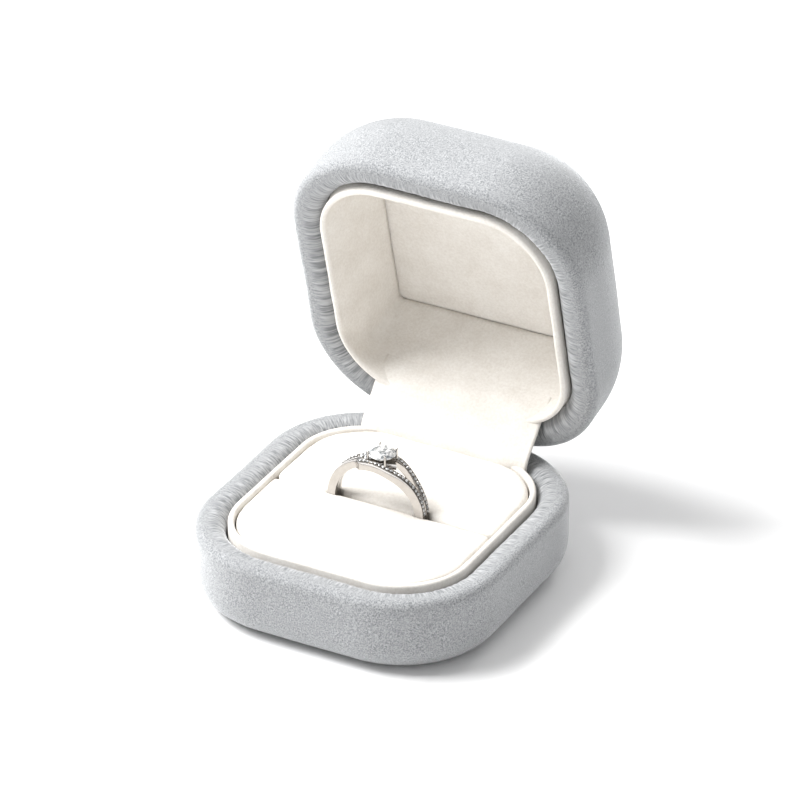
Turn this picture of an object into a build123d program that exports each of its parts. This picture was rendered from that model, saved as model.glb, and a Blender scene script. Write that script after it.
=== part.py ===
import os
from math import cos, radians, sin, sqrt, tan

from build123d import *

# Velvet ring box with a hinged lid, modelled open at its stop, with a ring in its slit.
# Millimetres. Origin: the centre of the underside. +X runs along the hinge, +Y towards
# the hinge side, +Z up.

# ---- the box -------------------------------------------------------------------------
width = 59.0
depth = 61.6
corner_radius = 19.4
base_height = 15.3
foot_radius = 6.0
lid_height = 26.0
crown_radius = 18.8
open_angle = 75.5
rim_gap = 0.3

# ---- the layers of a wall, from outside to inside ------------------------------------
cover_thickness = 0.8
padding_thickness = 1.2
shell_thickness = 1.8
hem_depth = 7.0
rim_outer_radius = 1.7
rim_inner_radius = 2.8
underside_margin = 9.0
underside_clearance = 0.15

# ---- the cream lining ----------------------------------------------------------------
liner_thickness = 1.3
liner_clearance = 0.15
liner_shut_gap = 0.1
liner_edge_radius = 0.6
ceiling_height = 16.2
ceiling_side_inset = 10.3
ceiling_end_inset = 14.0
ceiling_corner_radius = 3.2
ceiling_clearance = 0.1

# ---- the ring cushions ---------------------------------------------------------------
board_thickness = 0.4
board_clearance = 0.1
cushion_gap = 0.35
cushion_sink = 0.3
cushion_crown = 0.7
cushion_edge_radius = 1.9
cushion_skin = 0.6
slit_gap = 0.3

# ---- the hinge -----------------------------------------------------------------------
hinge_length = 20.0
knuckle_radius = 0.9
knuckle_gap = 0.2
pin_radius = 0.4
pin_clearance = 0.03
pin_head_radius = 0.7
pin_head_length = 0.3
leaf_thickness = 0.4
leaf_length = 9.0
leaf_clearance = 0.05
pocket_clearance = 0.3
spring_wire = 0.3
spring_leg = 5.0

# ---- the cloth that hides the hinge --------------------------------------------------
flap_width = 34.0
flap_thickness = 0.5
flap_clearance = 0.1
flap_tail = 7.0
flap_rise = 0.7

# ---- the ring ------------------------------------------------------------------------
band_radius = 9.8
band_thickness = 2.0
band_width = 2.4
shoulder_width = 5.2
shoulder_start = 3.0
strand_width = 1.3
ring_x = -0.95
ring_sink = 0.1
ring_clearance = 0.3
split_start = 1.6
halo_length = 10.4
halo_width = 6.6
halo_thickness = 1.1
halo_rise = 0.2
halo_x = -0.6
stone_radius = 2.5
stone_table_radius = 1.4
stone_crown = 0.9
stone_pavilion = 2.0
stone_girdle = 0.15
stone_x = 0.9
stone_lift = 1.5
seat_clearance = 0.03
prong_radius = 0.36
prong_rise = 0.9
prong_count = 4
pave_radius = 0.42
pave_height = 0.5
pave_proud = 0.18
pave_gap = 0.12
pave_clearance = 0.02
pave_first = 24.0
pave_count = 11

# ---- worked out ----------------------------------------------------------------------
shell_inset = cover_thickness + padding_thickness
cavity_inset = shell_inset + shell_thickness
rim_thickness = cavity_inset + shell_inset
liner_outer = rim_thickness + liner_clearance
liner_inner = liner_outer + liner_thickness
liner_proud = (rim_gap - liner_shut_gap) / 2
cushion_inset = liner_inner + cushion_gap
board_top = cavity_inset + board_thickness
cushion_top = base_height - cushion_sink

# The lid stops where the rims meet again behind the hinge. That happens at open_angle
# when the axis lies this far behind the centres of their outer rounds.
axis_setback = (rim_outer_radius + rim_gap / 2) * tan(radians(open_angle) / 4)
axis_y = depth / 2 - rim_outer_radius + axis_setback
axis_z = base_height + rim_gap / 2
opened_sin = sin(radians(open_angle))
opened_cos = cos(radians(open_angle))

# The lid's own plane: the origin is the middle of its rim, the normal points to its
# crown, and x and y are the box's own when the lid is shut.
rim_centre_y = axis_y - axis_y * opened_cos + (rim_gap / 2) * opened_sin
rim_centre_z = axis_z + axis_y * opened_sin + (rim_gap / 2) * opened_cos
lid_plane = Plane(
    origin=(0, rim_centre_y, rim_centre_z),
    x_dir=(1, 0, 0),
    z_dir=(0, opened_sin, opened_cos),
)
lid_up = Axis(lid_plane.origin, lid_plane.z_dir)
lid_down = Axis(lid_plane.origin, -lid_plane.z_dir)

# Each hinge leaf has a plane on the axis: y runs along the leaf, z points outwards.
base_leaf_plane = Plane(origin=(0, axis_y, axis_z), x_dir=(1, 0, 0), z_dir=(0, 1, 0))
lid_leaf_plane = Plane(
    origin=(0, axis_y, axis_z), x_dir=(-1, 0, 0), z_dir=(0, opened_cos, -opened_sin)
)
leaf_face = depth / 2 - shell_inset + leaf_clearance - axis_y
leaf_start = knuckle_radius + knuckle_gap
pocket_radius = knuckle_radius + pocket_clearance
pocket_length = hinge_length + 2 * (pin_head_length + pocket_clearance)
hinge_plane = Plane(origin=(0, axis_y, axis_z), x_dir=(0, 1, 0), z_dir=(1, 0, 0))

ring_z = cushion_top - ring_sink
ring_plane = Plane(origin=(ring_x, 0, ring_z), x_dir=(1, 0, 0), z_dir=(0, -1, 0))
girdle_z = ring_z + band_radius + stone_lift
halo_top = ring_z + band_radius + halo_rise


# ---- shared shapes -------------------------------------------------------------------
def outline(inset, mode=Mode.ADD):
    """The plan of the box, drawn in by inset."""
    RectangleRounded(
        width - 2 * inset, depth - 2 * inset, corner_radius - inset, mode=mode
    )


def round_rim(form, crest_axis, inset):
    """Round the two edges of a rim's crest, the face furthest along crest_axis."""
    crest = form.faces().sort_by(crest_axis)[-1]
    fillet(crest.inner_wires()[0].edges(), rim_inner_radius - inset)
    if rim_outer_radius > inset:
        crest = form.faces().sort_by(crest_axis)[-1]
        fillet(crest.outer_wire().edges(), rim_outer_radius - inset)


def base_form(inset):
    """The base's closed outside, all of its faces drawn in by inset."""
    with BuildPart() as form:
        with BuildSketch(Plane.XY.offset(inset)):
            outline(inset)
        extrude(amount=base_height - hem_depth - inset)
        fillet(form.faces().sort_by(Axis.Z)[0].edges(), foot_radius - inset)
        with BuildSketch(Plane.XY.offset(base_height - hem_depth)):
            outline(inset)
            outline(rim_thickness - inset, mode=Mode.SUBTRACT)
        extrude(amount=hem_depth - inset)
        round_rim(form, Axis.Z, inset)
    return form.part


def lid_form(inset):
    """The lid's closed outside, all of its faces drawn in by inset."""
    with BuildPart() as form:
        with BuildSketch(lid_plane.offset(hem_depth)):
            outline(inset)
        extrude(amount=lid_height - hem_depth - inset)
        fillet(form.faces().sort_by(lid_up)[-1].edges(), crown_radius - inset)
        with BuildSketch(lid_plane.offset(hem_depth)):
            outline(inset)
            outline(rim_thickness - inset, mode=Mode.SUBTRACT)
        extrude(amount=inset - hem_depth)
        round_rim(form, lid_down, inset)
    return form.part


def hinge_pocket():
    """The hollow around the hinge barrel."""
    with BuildPart() as pocket:
        with BuildSketch(hinge_plane):
            Circle(pocket_radius)
        extrude(amount=pocket_length / 2, both=True)
    return pocket.part


def leaf_slot(plane):
    """The slot that a hinge leaf lies in."""
    with BuildPart() as slot:
        with BuildSketch(plane.offset(leaf_face - leaf_clearance)):
            with Locations((0, leaf_length / 2)):
                Rectangle(hinge_length + 2 * leaf_clearance, leaf_length + 2 * leaf_clearance)
        extrude(amount=leaf_thickness + 2 * leaf_clearance)
    return slot.part


def slope(plane, low, high):
    """A solid that narrows between two plans, each (height, width, depth, radius)."""
    with BuildPart() as solid:
        for height, across, along, radius in (low, high):
            with BuildSketch(plane.offset(height)):
                RectangleRounded(across, along, radius)
        loft()
    return solid.part


def shell_cavity():
    """The hollow of the base's moulded shell."""
    with BuildPart() as cavity:
        with BuildSketch(Plane.XY.offset(cavity_inset)):
            outline(cavity_inset)
        extrude(amount=base_height)
        fillet(cavity.faces().sort_by(Axis.Z)[0].edges(), foot_radius - cavity_inset)
    return cavity.part


def lid_cavity():
    """The hollow of the lid's moulded shell."""
    with BuildPart() as cavity:
        with BuildSketch(lid_plane):
            outline(cavity_inset)
        extrude(amount=lid_height - cavity_inset)
        fillet(cavity.faces().sort_by(lid_up)[-1].edges(), crown_radius - cavity_inset)
    return cavity.part


def cushion_form(side, inset):
    """One ring cushion; side is -1 at the front and 1 at the back."""
    top = cushion_top - inset
    half_span = width / 2 - cushion_inset
    dome_radius = (half_span**2 + cushion_crown**2) / (2 * cushion_crown)
    with BuildPart() as form:
        with BuildSketch(Plane.XY.offset(board_top)):
            outline(cushion_inset + inset)
            with Locations((0, side * (depth / 2 + slit_gap / 2 + inset))):
                Rectangle(width, depth, mode=Mode.INTERSECT)
        extrude(amount=top + cushion_crown - board_top)
        with Locations((0, 0, top - dome_radius)):
            Sphere(dome_radius, mode=Mode.INTERSECT)
        fillet(form.faces().sort_by(Axis.Z)[-1].edges(), cushion_edge_radius - inset)
    return form.part


def ring_slot():
    """The pocket for the part of the ring that sits between the cushions."""
    with BuildPart() as slot:
        with BuildSketch(ring_plane):
            Circle(band_radius + ring_clearance)
        extrude(amount=band_width / 2 + ring_clearance, both=True)
    return slot.part


def flap_strip(outer_inset, extra=0):
    """The plan of the hinge cloth, bent along the back wall."""
    outline(outer_inset - extra)
    outline(outer_inset + flap_thickness + extra, mode=Mode.SUBTRACT)
    with Locations((0, depth / 2)):
        Rectangle(flap_width + 2 * extra, depth, mode=Mode.INTERSECT)


def stone_form(grow):
    """The round stone, grown by a clearance on every side."""
    with BuildPart() as stone:
        with BuildSketch(Plane.XZ):
            with BuildLine():
                Polyline(
                    (0, stone_crown + grow),
                    (stone_table_radius + grow, stone_crown + grow),
                    (stone_radius + grow, stone_girdle / 2),
                    (stone_radius + grow, -stone_girdle / 2),
                    (0, -stone_pavilion - grow),
                    close=True,
                )
            make_face()
        revolve(axis=Axis.Z)
    return stone.part.moved(Location((ring_x + stone_x, 0, girdle_z)))


def knuckle_x(station):
    """The middle of a knuckle; the hinge has five stations along its pin."""
    return (station - 2) * hinge_length / 5


def leaf_form(plane, stations):
    """A hinge leaf with its knuckles, bored for the pin and slotted for the spring."""
    knuckle_length = hinge_length / 5 - knuckle_gap
    with BuildPart() as leaf:
        with BuildSketch(plane.offset(leaf_face)):
            with Locations((0, (leaf_start + leaf_length) / 2)):
                Rectangle(hinge_length - knuckle_gap, leaf_length - leaf_start)
            for station in stations:
                with Locations((knuckle_x(station), leaf_start / 2 + knuckle_radius / 2)):
                    Rectangle(knuckle_length, leaf_start)
            with Locations((0, (leaf_start + spring_leg) / 2)):
                Rectangle(3 * spring_wire, spring_leg + knuckle_gap, mode=Mode.SUBTRACT)
        extrude(amount=leaf_thickness)
        for station in stations:
            with BuildSketch(hinge_plane.offset(knuckle_x(station))):
                Circle(knuckle_radius)
            extrude(amount=knuckle_length / 2, both=True)
        with BuildSketch(hinge_plane):
            Circle(pin_radius + pin_clearance)
        extrude(amount=hinge_length, both=True, mode=Mode.SUBTRACT)
    return leaf.part


def strand_arc_radius():
    """The radius, seen from above, of the curve that the ring's shoulders follow."""
    swell = (shoulder_width - band_width) / 2
    return (band_radius**2 + swell**2) / (2 * swell)


def strand_y(x):
    """How far a strand's middle line stands from the ring's middle plane."""
    radius = strand_arc_radius()
    return shoulder_width / 2 - radius + sqrt(radius**2 - x**2) - strand_width / 2


def lens(radius, half_width):
    """A pointed oval made by two arcs, along X."""
    with Locations((0, half_width - radius)):
        Circle(radius)
    with Locations((0, radius - half_width)):
        Circle(radius, mode=Mode.INTERSECT)


pocket = hinge_pocket()
base_slot = leaf_slot(base_leaf_plane)
lid_slot = leaf_slot(lid_leaf_plane)
os.makedirs("parts", exist_ok=True)

# ---- base: moulded shell, sponge padding and velvet cover ----------------------------
with BuildPart() as base_shell:
    add(base_form(shell_inset))
    add(shell_cavity(), mode=Mode.SUBTRACT)
base_shell.part.label = "base_shell"
export_step(base_shell.part, "parts/base_shell.step")

with BuildPart() as base_padding:
    add(base_form(cover_thickness))
    add(base_form(shell_inset), mode=Mode.SUBTRACT)
    add([pocket, base_slot], mode=Mode.SUBTRACT)
base_padding.part.label = "base_padding"
export_step(base_padding.part, "parts/base_padding.step")

with BuildPart() as base_cover:
    add(base_form(0))
    add(base_form(cover_thickness), mode=Mode.SUBTRACT)
    with BuildSketch():
        outline(underside_margin)
    extrude(amount=cover_thickness, mode=Mode.SUBTRACT)
    add([pocket, base_slot], mode=Mode.SUBTRACT)
base_cover.part.label = "base_cover"
export_step(base_cover.part, "parts/base_cover.step")

with BuildPart() as underside_panel:
    with BuildSketch():
        outline(underside_margin + underside_clearance)
    extrude(amount=cover_thickness)
underside_panel.part.label = "underside_panel"
export_step(underside_panel.part, "parts/underside_panel.step")

# ---- base: cream lining, cushion board and ring cushions -----------------------------
with BuildPart() as base_liner:
    with BuildSketch(Plane.XY.offset(cavity_inset)):
        outline(liner_outer)
        outline(liner_inner, mode=Mode.SUBTRACT)
    extrude(amount=base_height + liner_proud - cavity_inset)
    fillet(base_liner.faces().sort_by(Axis.Z)[-1].edges(), liner_edge_radius)
base_liner.part.label = "base_liner"
export_step(base_liner.part, "parts/base_liner.step")

with BuildPart() as cushion_board:
    with BuildSketch(Plane.XY.offset(cavity_inset)):
        outline(liner_inner + board_clearance)
    extrude(amount=board_thickness)
cushion_board.part.label = "cushion_board"
export_step(cushion_board.part, "parts/cushion_board.step")

with BuildPart() as flap_recess:
    with BuildSketch(Plane.XY.offset(board_top)):
        flap_strip(liner_inner + flap_clearance, flap_clearance)
    extrude(amount=base_height)

slot = ring_slot()
for name, side in (("front_cushion", -1), ("rear_cushion", 1)):
    with BuildPart() as foam:
        add(cushion_form(side, cushion_skin))
        add([slot, flap_recess.part], mode=Mode.SUBTRACT)
    foam.part.label = name + "_foam"
    export_step(foam.part, f"parts/{name}_foam.step")

    with BuildPart() as cover:
        add(cushion_form(side, 0))
        add(cushion_form(side, cushion_skin), mode=Mode.SUBTRACT)
        add([slot, flap_recess.part], mode=Mode.SUBTRACT)
    cover.part.label = name + "_cover"
    export_step(cover.part, f"parts/{name}_cover.step")

# ---- lid: moulded shell, sponge padding and velvet cover -----------------------------
with BuildPart() as lid_shell:
    add(lid_form(shell_inset))
    add(lid_cavity(), mode=Mode.SUBTRACT)
lid_shell.part.label = "lid_shell"
export_step(lid_shell.part, "parts/lid_shell.step")

with BuildPart() as lid_padding:
    add(lid_form(cover_thickness))
    add(lid_form(shell_inset), mode=Mode.SUBTRACT)
    add([pocket, lid_slot], mode=Mode.SUBTRACT)
lid_padding.part.label = "lid_padding"
export_step(lid_padding.part, "parts/lid_padding.step")

with BuildPart() as lid_cover:
    add(lid_form(0))
    add(lid_form(cover_thickness), mode=Mode.SUBTRACT)
    add([pocket, lid_slot], mode=Mode.SUBTRACT)
lid_cover.part.label = "lid_cover"
export_step(lid_cover.part, "parts/lid_cover.step")

# ---- lid: cream lining ---------------------------------------------------------------
liner_top = ceiling_height + liner_thickness
liner_walls = []
for wall, rim_inset in ((0, liner_inner), (liner_thickness, liner_outer)):
    low = (
        -liner_proud,
        width - 2 * rim_inset,
        depth - 2 * rim_inset,
        corner_radius - rim_inset,
    )
    high = (
        liner_top,
        width - 2 * (ceiling_side_inset - wall),
        depth - 2 * (ceiling_end_inset - wall),
        ceiling_corner_radius + wall,
    )
    liner_walls.append(slope(lid_plane, low, high))

with BuildPart() as lid_liner:
    add(liner_walls[1])
    add(liner_walls[0], mode=Mode.SUBTRACT)
    with BuildSketch(lid_plane.offset(-liner_proud)):
        flap_strip(rim_thickness + flap_clearance, flap_clearance)
    extrude(amount=lid_height, mode=Mode.SUBTRACT)
lid_liner.part.label = "lid_liner"
export_step(lid_liner.part, "parts/lid_liner.step")

with BuildPart() as lid_ceiling:
    with BuildSketch(lid_plane.offset(ceiling_height)):
        RectangleRounded(
            width - 2 * (ceiling_side_inset + ceiling_clearance),
            depth - 2 * (ceiling_end_inset + ceiling_clearance),
            ceiling_corner_radius,
        )
    extrude(amount=liner_thickness)
lid_ceiling.part.label = "lid_ceiling"
export_step(lid_ceiling.part, "parts/lid_ceiling.step")

# ---- hinge ---------------------------------------------------------------------------
hinge_leaves = (
    ("hinge_base_leaf", base_leaf_plane, (0, 4)),
    ("hinge_lid_leaf", lid_leaf_plane, (1, 3)),
)
for name, plane, stations in hinge_leaves:
    leaf = leaf_form(plane, stations)
    leaf.label = name
    export_step(leaf, f"parts/{name}.step")

with BuildPart() as hinge_pin:
    with BuildSketch(hinge_plane):
        Circle(pin_radius)
    extrude(amount=hinge_length / 2, both=True)
    for plane in (hinge_plane.offset(hinge_length / 2), (-hinge_plane).offset(hinge_length / 2)):
        with BuildSketch(plane):
            Circle(pin_head_radius)
        extrude(amount=pin_head_length)
hinge_pin.part.label = "hinge_pin"
export_step(hinge_pin.part, "parts/hinge_pin.step")

with BuildPart() as hinge_spring:
    with BuildSketch(hinge_plane):
        Circle(pin_radius + 2 * pin_clearance + spring_wire)
        Circle(pin_radius + 2 * pin_clearance, mode=Mode.SUBTRACT)
    extrude(amount=(hinge_length / 5 - 2 * knuckle_gap) / 2, both=True)
    for plane in (base_leaf_plane, lid_leaf_plane):
        with BuildSketch(plane.offset(leaf_face)):
            with Locations((0, spring_leg / 2)):
                Rectangle(spring_wire, spring_leg)
        extrude(amount=spring_wire)
hinge_spring.part.label = "hinge_spring"
export_step(hinge_spring.part, "parts/hinge_spring.step")

with BuildPart() as hinge_flap:
    with BuildSketch(Plane.XY.offset(base_height + flap_rise)) as base_edge:
        flap_strip(liner_inner + flap_clearance)
    extrude(amount=-flap_tail)
    with BuildSketch(lid_plane.offset(-liner_proud)) as lid_edge:
        flap_strip(rim_thickness + flap_clearance)
    extrude(amount=flap_tail)
    loft([base_edge.sketch, lid_edge.sketch], ruled=True)
hinge_flap.part.label = "hinge_flap"
export_step(hinge_flap.part, "parts/hinge_flap.step")

# ---- ring ----------------------------------------------------------------------------
big_stone = stone_form(0)
stone_seat = stone_form(seat_clearance)
arc_radius = strand_arc_radius()
finger_radius = band_radius - band_thickness
pave_pitch = (2 * pave_radius + pave_gap) / band_radius
pave_planes = []
for turn_side in (-1, 1):
    for index in range(pave_count):
        angle = turn_side * (radians(pave_first) + index * pave_pitch)
        x = band_radius * sin(angle)
        for strand_side in (-1, 1):
            pave_planes.append(
                Plane(
                    origin=(
                        ring_x + x,
                        strand_side * strand_y(x),
                        ring_z + band_radius * cos(angle),
                    ),
                    z_dir=(sin(angle), 0, cos(angle)),
                )
            )

with BuildPart() as pave_seats:
    with BuildSketch(*[plane.offset(pave_proud - pave_height) for plane in pave_planes]):
        Circle(pave_radius + pave_clearance)
    extrude(amount=2 * pave_height)

with BuildPart() as ring_shoulders:
    with BuildSketch(ring_plane):
        Circle(band_radius)
        Circle(finger_radius, mode=Mode.SUBTRACT)
        with Locations((0, shoulder_start + band_radius)):
            Rectangle(2 * band_radius, 2 * band_radius, mode=Mode.INTERSECT)
    extrude(amount=shoulder_width / 2, both=True)
    with BuildSketch(Plane(origin=(ring_x, 0, ring_z))):
        lens(arc_radius, shoulder_width / 2)
    extrude(amount=2 * band_radius, mode=Mode.INTERSECT)
    with BuildSketch(Plane(origin=(ring_x, 0, ring_z))):
        lens(arc_radius, shoulder_width / 2 - strand_width)
        Rectangle(2 * split_start, shoulder_width, mode=Mode.SUBTRACT)
    extrude(amount=2 * band_radius, mode=Mode.SUBTRACT)

with BuildPart() as ring_shank:
    with BuildSketch(ring_plane):
        Circle(band_radius)
        Circle(finger_radius, mode=Mode.SUBTRACT)
        with Locations((0, shoulder_start - band_radius)):
            Rectangle(2 * band_radius, 2 * band_radius, mode=Mode.INTERSECT)
    extrude(amount=band_width / 2, both=True)
    add(ring_shoulders.part)
    add([stone_seat, pave_seats.part], mode=Mode.SUBTRACT)
ring_shank.part.label = "ring_shank"
export_step(ring_shank.part, "parts/ring_shank.step")

with BuildPart() as pave_stones:
    with BuildSketch(*[plane.offset(pave_proud - pave_height) for plane in pave_planes]):
        Circle(pave_radius)
    extrude(amount=pave_height)
pave_stones.part.label = "pave_stones"
export_step(pave_stones.part, "parts/pave_stones.step")

halo_swell = halo_width / 2
halo_arc = ((halo_length / 2) ** 2 + halo_swell**2) / (2 * halo_swell)
girdle_x = ring_x + stone_x
with BuildPart() as ring_head:
    with BuildSketch(Plane(origin=(ring_x + halo_x, 0, halo_top))):
        lens(halo_arc, halo_swell)
    extrude(amount=-halo_thickness)
    with BuildSketch(Plane(origin=(girdle_x, 0, halo_top))):
        with PolarLocations(stone_radius, prong_count, start_angle=45):
            Circle(prong_radius)
    extrude(amount=girdle_z + prong_rise - halo_top)
    with Locations((girdle_x, 0, girdle_z + prong_rise)):
        with PolarLocations(stone_radius, prong_count, start_angle=45):
            Sphere(prong_radius)
    add([stone_seat, ring_shank.part, pave_seats.part], mode=Mode.SUBTRACT)
ring_head.part.label = "ring_head"
export_step(ring_head.part, "parts/ring_head.step")

with BuildPart() as centre_stone:
    add(big_stone)
centre_stone.part.label = "centre_stone"
export_step(centre_stone.part, "parts/centre_stone.step")
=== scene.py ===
import math

import bmesh
import bpy
from mathutils import Matrix, Vector, noise


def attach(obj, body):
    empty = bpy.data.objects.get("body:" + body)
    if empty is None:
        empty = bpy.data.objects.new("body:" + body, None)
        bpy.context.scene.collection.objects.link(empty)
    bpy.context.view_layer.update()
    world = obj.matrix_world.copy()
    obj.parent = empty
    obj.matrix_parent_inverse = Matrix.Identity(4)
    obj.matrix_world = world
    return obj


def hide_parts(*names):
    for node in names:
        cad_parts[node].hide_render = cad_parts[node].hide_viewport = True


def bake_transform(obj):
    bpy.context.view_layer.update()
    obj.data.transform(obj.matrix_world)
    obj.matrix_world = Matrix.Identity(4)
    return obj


# Velvet ring box with its lid open, and a ring in the slit of its cushions.
# Sizes in the dictionaries are millimetres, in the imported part's own frame.
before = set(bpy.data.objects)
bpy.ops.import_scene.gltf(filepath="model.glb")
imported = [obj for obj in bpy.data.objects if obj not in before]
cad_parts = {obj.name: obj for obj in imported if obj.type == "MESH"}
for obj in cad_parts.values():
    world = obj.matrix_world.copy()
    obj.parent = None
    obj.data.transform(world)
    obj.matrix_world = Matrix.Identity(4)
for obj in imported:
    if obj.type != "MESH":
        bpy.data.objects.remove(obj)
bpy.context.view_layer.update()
mm = 0.001
print("stage: frame loaded")

box = {
    "width": 59.0,
    "depth": 61.6,
    "cornerRadius": 19.4,
    "baseHeight": 15.3,
    "footRadius": 6.0,
    "lidHeight": 26.0,
    "crownRadius": 18.8,
    "openAngle": 75.5,
    "rimGap": 0.3,
    "rimThickness": 5.8,
    "rimOuterRadius": 1.7,
    "rimInnerRadius": 2.8,
    "hemShown": 0.2,
    "coverThickness": 0.8,
    "footMargin": 9.0,
    "cornerSegments": 64,
    "sideSegments": 44,
    "outerRoundSteps": 7,
    "innerRoundSteps": 10,
    "footRoundSteps": 10,
    "crownRoundSteps": 26,
    "baseRows": 8,
    "lidRows": 6,
}


def deselectAll():
    if bpy.context.object and bpy.context.object.mode != "OBJECT":
        bpy.ops.object.mode_set(mode="OBJECT")
    bpy.ops.object.select_all(action="DESELECT")


def activate(piece):
    deselectAll()
    piece.select_set(True)
    bpy.context.view_layer.objects.active = piece


def openEdit(piece):
    activate(piece)
    bpy.ops.object.mode_set(mode="EDIT")


def closeEdit():
    bpy.ops.object.mode_set(mode="OBJECT")


def pick(piece, kind, test):
    # selects the verts, edges or faces of the piece in edit mode that pass the test
    modes = {"verts": "VERT", "edges": "EDGE", "faces": "FACE"}
    bpy.ops.mesh.select_mode(type=modes[kind])
    bpy.ops.mesh.select_all(action="DESELECT")
    mesh = bmesh.from_edit_mesh(piece.data)
    for item in getattr(mesh, kind):
        if test(item):
            item.select_set(True)
    mesh.select_flush_mode()
    bmesh.update_edit_mesh(piece.data)


def pickCap(piece, upward):
    # the large flat face that closes the piece at its top or its bottom
    mesh = bmesh.from_edit_mesh(piece.data)
    caps = [face for face in mesh.faces if len(face.verts) > 6]
    caps.sort(key=lambda face: face.calc_center_median().z)
    chosen = caps[-1 if upward else 0].index
    pick(piece, "faces", lambda face: face.index == chosen)


def applyModifier(piece, kind, **settings):
    modifier = piece.modifiers.new(kind.lower(), kind)
    for name, value in settings.items():
        setattr(modifier, name, value)
    activate(piece)
    bpy.ops.object.modifier_apply(modifier=modifier.name)


def outline(name, width, depth, radius, height, fill=True):
    # a rounded rectangle: a circle whose quarters are drawn apart
    deselectAll()
    count = 4 * box["cornerSegments"]
    bpy.ops.mesh.primitive_circle_add(
        vertices=count,
        radius=radius * mm,
        fill_type="NOTHING",
        location=(0, 0, height * mm),
        rotation=(0, 0, math.pi / count),
    )
    piece = bpy.context.object
    piece.name = name
    bpy.ops.object.transform_apply(location=True, rotation=True, scale=True)
    openEdit(piece)
    for sideX in (-1, 1):
        for sideY in (-1, 1):
            pick(piece, "verts", lambda vert: vert.co.x * sideX > 0 and vert.co.y * sideY > 0)
            shift = (sideX * (width / 2 - radius) * mm, sideY * (depth / 2 - radius) * mm, 0)
            bpy.ops.transform.translate(value=shift)
    cornerStep = radius * mm * 2 * math.pi / count
    pick(piece, "edges", lambda edge: edge.calc_length() > 1.5 * cornerStep)
    bpy.ops.mesh.subdivide(number_cuts=box["sideSegments"] - 1)
    if fill:
        bpy.ops.mesh.select_all(action="SELECT")
        bpy.ops.mesh.edge_face_add()
    closeEdit()
    return piece


def raiseWall(piece, height):
    # a flat outline becomes a closed block whose faces point outwards
    openEdit(piece)
    bpy.ops.mesh.select_all(action="SELECT")
    bpy.ops.mesh.extrude_region_move(TRANSFORM_OT_translate={"value": (0, 0, height * mm)})
    bpy.ops.mesh.select_all(action="SELECT")
    bpy.ops.mesh.normals_make_consistent(inside=False)
    closeEdit()


def followProfile(piece, upward, steps):
    # draws the cap through (inward, outward along its normal) steps
    openEdit(piece)
    pickCap(piece, upward)
    for inward, rise in steps:
        if inward > 0:
            bpy.ops.mesh.inset(thickness=inward * mm, depth=rise * mm, use_even_offset=True)
        else:
            lift = rise * mm * (1 if upward else -1)
            bpy.ops.mesh.extrude_region_move(TRANSFORM_OT_translate={"value": (0, 0, lift)})
    closeEdit()


def roundOver(radius, count):
    # from an upright wall to a level crest
    turns = [math.pi / 2 * index / count for index in range(count + 1)]
    return [
        (radius * (math.cos(a) - math.cos(b)), radius * (math.sin(b) - math.sin(a)))
        for a, b in zip(turns, turns[1:])
    ]


def roundDown(radius, count):
    # from a level crest to an upright wall
    return [(inward, -rise) for inward, rise in reversed(roundOver(radius, count))]


def dropCap(piece, upward):
    openEdit(piece)
    pickCap(piece, upward)
    bpy.ops.mesh.delete(type="FACE")
    closeEdit()


def bridgeLoops(piece, test):
    # joins the two open loops whose points pass the test
    openEdit(piece)
    pick(piece, "edges", lambda edge: len(edge.link_faces) < 2 and all(test(v.co / mm) for v in edge.verts))
    bpy.ops.mesh.bridge_edge_loops(number_cuts=0)
    closeEdit()


def planPlace(x, y):
    # how far round the box's outline a point lies, and how far inside it
    radius = box["cornerRadius"]
    halfX = box["width"] / 2 - radius
    halfY = box["depth"] / 2 - radius
    quarter = halfX + halfY + radius * math.pi / 2
    dx = abs(x) - halfX
    dy = abs(y) - halfY
    if dx > 0 and dy > 0:
        along = halfY + radius * math.atan2(dy, dx)
        inside = radius - math.hypot(dx, dy)
    elif dx > dy:
        along = min(abs(y), halfY)
        inside = radius - dx
    else:
        along = quarter - min(abs(x), halfX)
        inside = radius - dy
    if x < 0:
        along = 2 * quarter - along
    if y < 0:
        along = 4 * quarter - along
    return along, inside, 4 * quarter


def cornerShare(x, y):
    # 1 in the middle of a rounded corner, 0 on the straight sides
    radius = box["cornerRadius"]
    dx = abs(x) - box["width"] / 2 + radius
    dy = abs(y) - box["depth"] / 2 + radius
    if dx <= 0 or dy <= 0:
        return 0.0
    return math.sin(2 * math.atan2(dy, dx))


def unwrapAround(piece):
    # UV in millimetres: u round the outline, v down the wall's profile
    layer = piece.data.uv_layers.active or piece.data.uv_layers.new(name="UVMap")
    for polygon in piece.data.polygons:
        places = []
        for corner in polygon.loop_indices:
            point = piece.data.vertices[piece.data.loops[corner].vertex_index].co / mm
            along, inside, total = planPlace(point.x, point.y)
            places.append((corner, along, inside - point.z))
        longest = max(place[1] for place in places)
        for corner, along, down in places:
            if longest - along > total / 2:
                along += total
            layer.data[corner].uv = (along, down)


def sinkSurface(piece, depthAt):
    # moves each point inwards along its normal by depthAt(point), all in millimetres
    vertices = piece.data.vertices
    normals = [vertex.normal.copy() for vertex in vertices]
    for vertex, normal in zip(vertices, normals):
        vertex.co -= normal * depthAt(vertex.co / mm) * mm


def paintAttribute(piece, name, valueAt):
    attribute = piece.data.attributes.new(name, "FLOAT", "POINT")
    for vertex in piece.data.vertices:
        attribute.data[vertex.index].value = valueAt(vertex.co / mm)


def smoothStep(low, high, value):
    share = min(max((value - low) / (high - low), 0.0), 1.0)
    return share * share * (3 - 2 * share)


def shadeSmooth(piece):
    activate(piece)
    bpy.ops.object.shade_smooth()


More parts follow.
